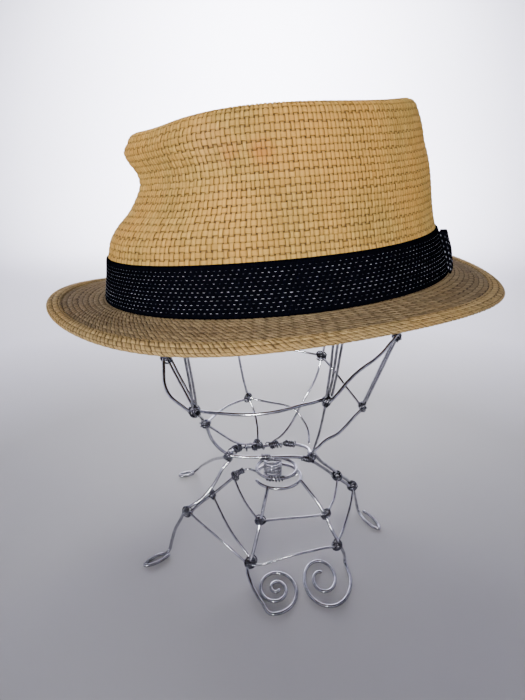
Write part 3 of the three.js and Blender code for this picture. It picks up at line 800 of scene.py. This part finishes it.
def tube(work, path, radius, sides=10, tone=0.0):
    """A round wire along a path in metres, with rounded ends."""
    along = np.gradient(path, axis=0)
    along /= np.linalg.norm(along, axis=1, keepdims=True)
    before = [path[0] - along[0] * radius * reach for reach, _ in reversed(TUBE_CAPS)]
    after = [path[-1] + along[-1] * radius * reach for reach, _ in TUBE_CAPS]
    path = np.vstack([*before, path, *after])
    along = np.vstack([along[:1]] * len(before) + [along] + [along[-1:]] * len(after))
    sizes = np.full(len(path), radius)
    for k, (_, size) in enumerate(reversed(TUBE_CAPS)):
        sizes[k] = radius * size
        sizes[-1 - k] = radius * size
    side = np.cross(along[0], TUBE_SIDE)
    side /= np.linalg.norm(side)
    angles = 2 * np.pi * np.arange(sides) / sides
    rings = []
    for place, forward, size in zip(path, along, sizes):
        side = side - forward * side.dot(forward)
        side /= np.linalg.norm(side)
        other = np.cross(forward, side)
        rings.append(place + size * (np.cos(angles)[:, None] * side
                                     + np.sin(angles)[:, None] * other))
    points = np.array(rings)
    gone = np.concatenate([[0], np.cumsum(np.linalg.norm(np.diff(path, axis=0), axis=1))]) / MM
    lengths = np.stack(np.broadcast_arrays(gone[:, None], angles[None, :]), -1)
    work.grid(points, tone, lengths, across_closed=True)


def wires():
    """Every packed wire as a round one. Returns their lines for the ties."""
    lines = {}
    for node in sorted(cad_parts):
        if node in HAT_NODES:
            continue
        line, reach = wire_line(node)
        radius = (MAIN if reach / MM > (MAIN + THIN) / 2 else THIN) * MM
        path = finer(line, 3)
        lines[node] = (path, radius)
        work = Patchwork()
        tube(work, path, radius)
        add_piece(work, node + "_round", "wire", wire_finish, node)
    return lines


TIES = (
    # place in millimetres, turns, reach along the wire
    ((-31, -8, 67), 3, 3.6), ((24, -8, 67), 3, 3.6), ((8, 21, 61), 3, 3.6), ((-12, 17, 62), 3, 3.6),
    ((-58, -20, 33), 2, 2.4), ((55, 10, 33), 2, 2.4), ((-10, -33, 35), 2, 2.2),
    ((33, -27, 35), 2, 2.2), ((-15.5, -41, 11), 4, 6.0), ((40, -34, 17), 2, 2.4),
    ((-50, -26, 109), 3, 3.6), ((30, -26, 116), 3, 3.6), ((61, 20, 90), 2, 2.8),
    ((-19, 40, 88), 2, 2.8), ((-46, -3, 89), 3, 3.4), ((-70, 3, 133), 3, 3.6),
    ((78, 10, 146), 3, 3.6), ((34, 45, 119), 3, 3.0),
    ((-42, -11, 39.5), 2, 2.0), ((-28, -4, 49), 2, 2.0), ((43, 3, 45), 2, 2.0),
)
# Each knot is wound twice: how far the winding leans, in degrees, and its size.
TIE_LAYERS = ((8, 1.0), (-38, 1.22))
TIE_STOPS = 12
TIE_ASIDE = (0.2, 0.9, 0.35)
TIE_FINDS = 5
BUNDLE_LARGEST = 2.2
WRAPS = (
    # wire, first and last share of it, turns, reach outwards
    ("hub_ring_back", 0.33, 0.39, 5, 1.9), ("hub_ring_back", 0.46, 0.53, 5, 2.3),
    ("hub_ring_back", 0.62, 0.67, 4, 1.9), ("hub_ring_back", 0.76, 0.83, 5, 2.2),
    ("hub_ring_back", 0.42, 0.90, 7, 2.5), ("hub_bar", 0.40, 0.50, 5, 1.7),
    ("hub_bar", 0.87, 0.97, 5, 1.7), ("hub_ring_mid", 0.42, 0.56, 6, 1.7),
    ("hub_link", 0.1, 0.4, 4, 1.6),
)
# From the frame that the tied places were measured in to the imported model's.
STAND_OFFSET = 2.776


def wound(work, core, turns, size, seed):
    """Thin wire wound by hand round a core line."""
    count = int(turns * TIE_STOPS)
    gone = np.concatenate([[0], np.cumsum(np.linalg.norm(np.diff(core, axis=0), axis=1))])
    at = np.linspace(0, gone[-1], count)
    middle = np.stack([np.interp(at, gone, core[:, k]) for k in range(3)], -1)
    along = np.gradient(middle, axis=0)
    along /= np.linalg.norm(along, axis=1, keepdims=True)
    side = np.cross(along, TIE_ASIDE)
    side /= np.linalg.norm(side, axis=1, keepdims=True)
    other = np.cross(along, side)
    angle = 2 * np.pi * (np.arange(count) / TIE_STOPS + seed.uniform())
    swell = 1 + 0.12 * np.sin(angle * 0.37 + seed.uniform(0, 6)) + seed.normal(0, 0.03, count)
    path = middle + (size * swell)[:, None] * (
        np.cos(angle)[:, None] * side + np.sin(angle)[:, None] * other)
    tube(work, path, TIE * MM, sides=7, tone=seed.normal(-0.6, 0.3))


def ties(lines):
    """Thin wire wound round the wires that meet at each tied place."""
    work = Patchwork()
    seed = np.random.RandomState(51)
    for place, turns, reach in TIES:
        spot = (np.array(place, float) + (STAND_OFFSET, 0, 0)) * MM
        met = []
        for path, radius in lines.values():
            far = np.linalg.norm(path - spot, axis=1)
            near = far.argmin()
            if far[near] < TIE_FINDS * MM:
                ahead = path[min(near + 2, len(path) - 1)] - path[max(near - 2, 0)]
                met.append((path[near], ahead / np.linalg.norm(ahead), radius))
        if not met:
            raise ValueError(f"no wire passes the tie at {place}")
        met = sorted(met, key=lambda wire: -wire[2])[:3]
        axis = met[0][1]
        middle = np.mean([wire[0] for wire in met], axis=0)
        away = [wire[0] - middle for wire in met]
        bundle = max(np.linalg.norm(a - axis * a.dot(axis)) + wire[2]
                     for a, wire in zip(away, met))
        bundle = min(bundle, BUNDLE_LARGEST * MM) + TIE * MM
        for lean, layer in TIE_LAYERS:
            slant = Quaternion(np.cross(axis, TIE_ASIDE), math.radians(lean))
            winding = np.array(slant @ Vector(axis)) * reach * MM / 2
            core = np.array([middle - winding, middle, middle + winding])
            wound(work, core, turns, bundle * layer, seed)
    for node, start, end, turns, size in WRAPS:
        path = lines[node][0]
        core = path[int(start * len(path)):int(end * len(path)) + 1]
        wound(work, core, turns, size * MM, seed)
    return work


class Finish:
    """A Principled material, with short calls for the nodes that feed it."""

    def __init__(self, name, **values):
        self.material = bpy.data.materials.new(name)
        self.material.use_nodes = True
        self.nodes = self.material.node_tree.nodes
        self.links = self.material.node_tree.links
        self.shader = self.nodes["Principled BSDF"]
        for socket, value in values.items():
            self.shader.inputs[socket.replace("_", " ").title().replace("Ior", "IOR")] \
                .default_value = value

    def add(self, kind, *sources, **settings):
        """A node with its first inputs linked or set, in order."""
        node = self.nodes.new(kind)
        for name, value in settings.items():
            setattr(node, name, value)
        for socket, source in zip(node.inputs, sources):
            if source is not None:
                self.feed(source, socket)
        return node

    def feed(self, source, socket):
        if isinstance(source, bpy.types.NodeSocket):
            self.links.new(source, socket)
        else:
            socket.default_value = source

    def math(self, operation, *sources):
        return self.add("ShaderNodeMath", *sources, operation=operation).outputs[0]

    def attribute(self, name):
        return self.add("ShaderNodeAttribute", attribute_name=name)

    def place(self):
        return self.add("ShaderNodeTexCoord").outputs["Object"]

    def stretched(self, vector, scale):
        node = self.add("ShaderNodeMapping", vector)
        node.inputs["Scale"].default_value = scale
        return node.outputs[0]

    def noise(self, vector, scale, detail=3.0, roughness=0.5):
        node = self.add("ShaderNodeTexNoise", vector)
        node.inputs["Scale"].default_value = scale
        node.inputs["Detail"].default_value = detail
        node.inputs["Roughness"].default_value = roughness
        return node.outputs[0]

    def ramp(self, value, *stops):
        node = self.add("ShaderNodeValToRGB", value)
        elements = node.color_ramp.elements
        for place, colour in stops[2:]:
            elements.new(place)
        for element, (place, colour) in zip(elements, stops):
            element.position = place
            element.color = (*colour, 1)
        return node.outputs[0]

    def mix(self, share, one, other):
        node = self.add("ShaderNodeMix", data_type="RGBA")
        for socket, source in zip((node.inputs[0], node.inputs[6], node.inputs[7]),
                                  (share, one, other)):
            self.feed(source, socket)
        return node.outputs[2]

    def range(self, value, low, high, to_low=0.0, to_high=1.0):
        node = self.add("ShaderNodeMapRange", value, low, high, to_low, to_high)
        return node.outputs[0]

    def bump(self, height, strength, distance):
        node = self.add("ShaderNodeBump")
        node.inputs["Strength"].default_value = strength
        node.inputs["Distance"].default_value = distance
        self.feed(height, node.inputs["Height"])
        self.feed(node.outputs[0], self.shader.inputs["Normal"])


STAINS = (
    # height on the crown, turn in degrees, reach in metres, strength, colour
    (78, 285, 0.050, 0.30, (0.50, 0.25, 0.05)),
    (80, 250, 0.011, 0.45, (0.48, 0.24, 0.075)),
    (68, 274, 0.009, 0.40, (0.48, 0.23, 0.05)),
    (50, 256, 0.010, 0.55, (0.50, 0.27, 0.06)),
    (73, 269, 0.006, 0.80, (0.38, 0.15, 0.035)),
    (74, 257, 0.006, 0.70, (0.40, 0.17, 0.045)),
)


def straw_finish(name, shades, shade_colour, patched, stained=True):
    """Flat twisted paper tape: fine ridges along it, and a tone of its own for each tape."""
    finish = Finish(name, roughness=0.85, specular_ior_level=0.1)
    tone = finish.attribute("tone").outputs["Fac"]
    strand = finish.attribute("strand").outputs["Vector"]
    _, across, painted_shade = finish.add("ShaderNodeSeparateXYZ", strand).outputs
    place = finish.place()
    fibre = finish.noise(finish.stretched(strand, (0.35, 3.2, 0.0)), 1.0, 4.0, 0.6)
    value = finish.math("MULTIPLY_ADD", tone, 0.22, 0.5)
    value = finish.math("ADD", value, finish.range(fibre, 0.3, 0.7, -0.16, 0.16))
    colour = finish.ramp(value, (0.0, shades[0]), (1.0, shades[2]), (0.5, shades[1]))
    patch = finish.range(finish.noise(place, 26.0), 0.42, 0.68, 0.0, 0.4)
    colour = finish.mix(patch, colour, (*patched, 1))
    if stained:
        ragged = finish.noise(place, 130.0, 4.0, 0.65)
        for height, turn, reach, strength, stain in STAINS:
            far = finish.add("ShaderNodeVectorMath", place, operation="DISTANCE")
            far.inputs[1].default_value = stand_up(crown_point(height, math.radians(turn)))
            edge = finish.math("MULTIPLY_ADD", ragged, reach * 1.6, far.outputs["Value"])
            mask = finish.range(edge, reach * 0.8, reach * 2.0, strength, 0.0)
            colour = finish.mix(mask, colour, (*stain, 1))
    # Painted shade: the tapes' edges and the gaps between them are darkened towards a shade colour.
    colour = finish.mix(finish.range(painted_shade, 0.1, 1.0, 0.0, 0.92), colour, (*shade_colour, 1))
    finish.feed(colour, finish.shader.inputs["Base Color"])
    ridge = finish.math("SINE", finish.math("MULTIPLY", across, 13.0))
    height = finish.math("MULTIPLY_ADD", fibre, 1.6, ridge)
    finish.bump(height, 0.55, 0.00012)
    return finish.material


def shade_layer_finish():
    """Painted shade: the dark depth of the weave, seen through its gaps."""
    finish = Finish("straw_painted_shade_layer", roughness=0.9, specular_ior_level=0.1)
    place = finish.place()
    value = finish.noise(place, 700.0)
    colour = finish.ramp(value, (0.3, (0.045, 0.025, 0.011)), (0.7, (0.12, 0.072, 0.034)))
    finish.feed(colour, finish.shader.inputs["Base Color"])
    finish.bump(finish.noise(place, 1500.0, 2.0), 0.5, 0.0003)
    return finish.material


def ribbon_finish():
    """Black ribbon with fine ribs across its width."""
    finish = Finish("ribbon_black", roughness=0.9, specular_ior_level=0.0)
    strand = finish.attribute("strand").outputs["Vector"]
    along = finish.add("ShaderNodeSeparateXYZ", strand).outputs[0]
    rib = finish.math("SINE", finish.math("MULTIPLY", along, 9.0))
    dust = finish.noise(finish.stretched(strand, (0.6, 1.8, 1.0)), 1.0, 4.0, 0.6)
    value = finish.math("MULTIPLY_ADD", rib, 0.16, dust)
    colour = finish.ramp(value, (0.25, (0.0004, 0.0004, 0.0009)), (0.85, (0.0018, 0.002, 0.0042)))
    finish.feed(colour, finish.shader.inputs["Base Color"])
    finish.bump(finish.math("MULTIPLY_ADD", dust, 0.6, rib), 0.6, 0.00012)
    return finish.material


def thread_finish():
    """Pale thread of the ribbon's dashes, some of it darker at random."""
    finish = Finish("ribbon_thread", roughness=0.6, specular_ior_level=0.2)
    tone = finish.attribute("tone").outputs["Fac"]
    strand = finish.attribute("strand").outputs["Vector"]
    twist = finish.noise(finish.stretched(strand, (2.0, 5.0, 1.0)), 1.0)
    value = finish.math("MULTIPLY_ADD", tone, 0.25, twist)
    colour = finish.ramp(value, (0.25, (0.02, 0.02, 0.028)), (0.95, (0.40, 0.41, 0.48)))
    finish.feed(colour, finish.shader.inputs["Base Color"])
    finish.bump(twist, 0.4, 0.00008)
    return finish.material


def metal_finish(name, bright, dull, rough):
    """Drawn soft wire: fine lines along it, dull where it was gripped and wound."""
    finish = Finish(name, metallic=1.0)
    strand = finish.attribute("strand").outputs["Vector"]
    place = finish.place()
    drawn = finish.noise(finish.stretched(strand, (0.25, 2.5, 1.0)), 1.0)
    mark = finish.noise(place, 320.0, 4.0, 0.6)
    value = finish.math("ADD", finish.math("MULTIPLY", drawn, 0.5),
                        finish.math("MULTIPLY", mark, 0.5))
    finish.feed(finish.ramp(value, (0.3, dull), (0.6, bright)),
                finish.shader.inputs["Base Color"])
    finish.feed(finish.range(value, 0.3, 0.7, rough + 0.14, rough),
                finish.shader.inputs["Roughness"])
    finish.bump(value, 0.25, 0.00015)
    return finish.material


crown_shades = ((0.17, 0.091, 0.0175), (0.35, 0.208, 0.042), (0.525, 0.341, 0.09))
# The brim's straw: greyer than the crown's, and darkened as painted shade on its top.
brim_straw_with_painted_shade = ((0.065, 0.044, 0.026), (0.142, 0.099, 0.051), (0.265, 0.192, 0.10))
# The hem's straw: the brim's tones made lighter, as painted light on the lip that faces the front.
hem_straw_with_painted_light = ((0.105, 0.068, 0.03), (0.25, 0.17, 0.072), (0.47, 0.33, 0.14))
crown_finish = straw_finish("straw_crown", crown_shades, (0.035, 0.018, 0.007), (0.55, 0.26, 0.05))
# The brim's patches and shade colour are darkened with the same painted shade.
brim_finish = straw_finish("straw_brim", brim_straw_with_painted_shade, (0.018, 0.011, 0.006), (0.20, 0.12, 0.045),
                           stained=False)
hem_finish = straw_finish("straw_hem", hem_straw_with_painted_light, (0.035, 0.02, 0.009), (0.40, 0.23, 0.07),
                          stained=False)
shade_layer_material = shade_layer_finish()
wire_finish = metal_finish("wire_bright", (0.52, 0.52, 0.56), (0.11, 0.11, 0.125), 0.1)
tie_finish = metal_finish("wire_ties", (0.16, 0.16, 0.19), (0.02, 0.02, 0.026), 0.16)
black_finish = ribbon_finish()
dash_finish = thread_finish()

# The hat.
HAT_NODES = ("crown", "crown_tip", "brim", "brim_edge", "band", "band_tab")
add_piece(wall_weave(), "crown_weave", "straw", crown_finish, "crown")
add_piece(wall_weave(INSIDE_DEPTH, side=-1, stops=COARSE_STOPS, height=INSIDE_HEIGHT),
          "crown_weave_inside", "straw", crown_finish)
add_piece(edge_weave(), "crown_edge_weave", "straw_tip", crown_finish, "crown_tip")
add_piece(top_weave(), "crown_top_weave", "straw_tip", crown_finish)
# Painted shade: a dark sheet between the crown's two faces.
add_piece(crown_shade_layer(), "crown_painted_shade", "straw", shade_layer_material)
add_piece(brim_weave(BRIM_UPPER, 21, -1), "brim_weave", "straw", brim_finish, "brim")
add_piece(brim_weave(BRIM_LOWER, 22, 1), "brim_weave_under", "straw", brim_finish)
# Painted shade: a dark sheet between the brim's two faces.
add_piece(brim_shade_layer(), "brim_painted_shade", "straw", shade_layer_material)
add_piece(hem_weave(), "hem_weave", "straw_hem", hem_finish, "brim_edge")
# Painted shade: a dark sheet inside the hem.
add_piece(hem_shade_layer(), "hem_painted_shade", "straw_hem", shade_layer_material)
ribbon_piece = add_piece(ribbon(), "ribbon", "ribbon", black_finish, "band")
sewn_on = [
    add_piece(dashes(), "ribbon_dashes", "ribbon", dash_finish),
    add_piece(keeper(), "ribbon_keeper", "ribbon", black_finish, "band_tab"),
    add_piece(keeper_dots(), "ribbon_keeper_dots", "ribbon", dash_finish),
]

# The stand.
wire_lines = wires()
add_piece(ties(wire_lines), "wire_ties", "wire", tie_finish)


# The studio: a pale floor that curves up all round, soft lights and the camera.
BOWL_PROFILE = ((0.00001, 0.0), (0.4, 0.0), (0.8, 0.0), (1.3, 0.0), (1.5, 0.03), (1.66, 0.12),
                (1.76, 0.26), (1.8, 0.45), (1.82, 0.9), (1.82, 1.5))
BOWL_SIDES = 96
FLOOR_DROP = 0.0002
# The floor is darker near the hat, and pales between these distances.
FLOOR_NEAR, FLOOR_FAR = (0.54, 0.534, 0.537), (0.88, 0.87, 0.95)
FLOOR_FADE = (0.27, 0.55)
HAT_MIDDLE = (0.0, 0.0, 0.22)
LIGHTS = (
    # name, place, target, size, watts, colour, spread in degrees
    ("key", (-0.24, -1.16, 0.5), (-0.01, 0.0, 0.225), 0.3, 0.85, (1.0, 0.985, 0.96), 22),
    ("top", (-0.25, 0.1, 1.2), HAT_MIDDLE, 0.5, 1.5, (1.0, 1.0, 1.0), 180),
    ("wall_wash", (0.0, 0.7, 1.4), (0.0, 1.8, 0.25), 0.5, 46.0, (0.95, 0.95, 1.0), 78),
    ("floor_wash", (0.0, 0.75, 1.35), (0.0, 0.8, 0.0), 0.5, 4.8, (0.98, 0.98, 1.0), 70),
)
SKY_COLOUR = (0.93, 0.94, 1.0, 1)
SKY_STRENGTH = 0.05
# The camera stands where the photo's did, by the size of the hat in it.
CAMERA_PLACE = (-0.005724, -0.338, 0.259005)
CAMERA_PITCH_DEGREES = 19.5
FOCAL_PIXELS = 566
LONG_SIDE_PIXELS = 700
SENSOR_MM = 36.0


def studio_bowl():
    """Floor and backdrop in one turned surface, well outside every view's camera."""
    points = np.array([[(r * math.cos(a), r * math.sin(a), z - FLOOR_DROP)
                        for r, z in BOWL_PROFILE]
                       for a in 2 * np.pi * np.arange(BOWL_SIDES) / BOWL_SIDES])
    work = Patchwork()
    work.grid(points, closed=True)
    bowl = work.build("studio_floor")
    finish = Finish("studio_pale", roughness=0.85, specular_ior_level=0.15)
    far = finish.add("ShaderNodeVectorMath", finish.place(), operation="LENGTH")
    colour = finish.ramp(finish.range(far.outputs["Value"], *FLOOR_FADE),
                         (0.0, FLOOR_NEAR), (1.0, FLOOR_FAR))
    finish.feed(colour, finish.shader.inputs["Base Color"])
    bowl.data.materials.append(finish.material)


def soft_light(name, place, target, size, watts, colour, spread):
    light = bpy.data.lights.new(name, "AREA")
    light.spread = math.radians(spread)
    light.shape = "DISK"
    light.size = size
    light.energy = watts
    light.color = colour
    lamp = bpy.data.objects.new(name, light)
    lamp.location = place
    aim = Vector(target) - Vector(place)
    lamp.rotation_euler = aim.to_track_quat("-Z", "Y").to_euler()
    bpy.context.scene.collection.objects.link(lamp)


def camera():
    lens = bpy.data.cameras.new("camera")
    lens.sensor_width = SENSOR_MM
    lens.lens = FOCAL_PIXELS / LONG_SIDE_PIXELS * SENSOR_MM
    lens.clip_start = 0.01
    eye = bpy.data.objects.new("camera", lens)
    eye.location = CAMERA_PLACE
    eye.rotation_euler = (math.radians(90 - CAMERA_PITCH_DEGREES), 0, 0)
    bpy.context.scene.collection.objects.link(eye)
    bpy.context.scene.camera = eye


def surroundings():
    world = bpy.data.worlds.new("studio")
    bpy.context.scene.world = world
    world.use_nodes = True
    sky = world.node_tree.nodes["Background"]
    sky.inputs["Color"].default_value = SKY_COLOUR
    sky.inputs["Strength"].default_value = SKY_STRENGTH


studio_bowl()
surroundings()
camera()
for light in LIGHTS:
    soft_light(*light)
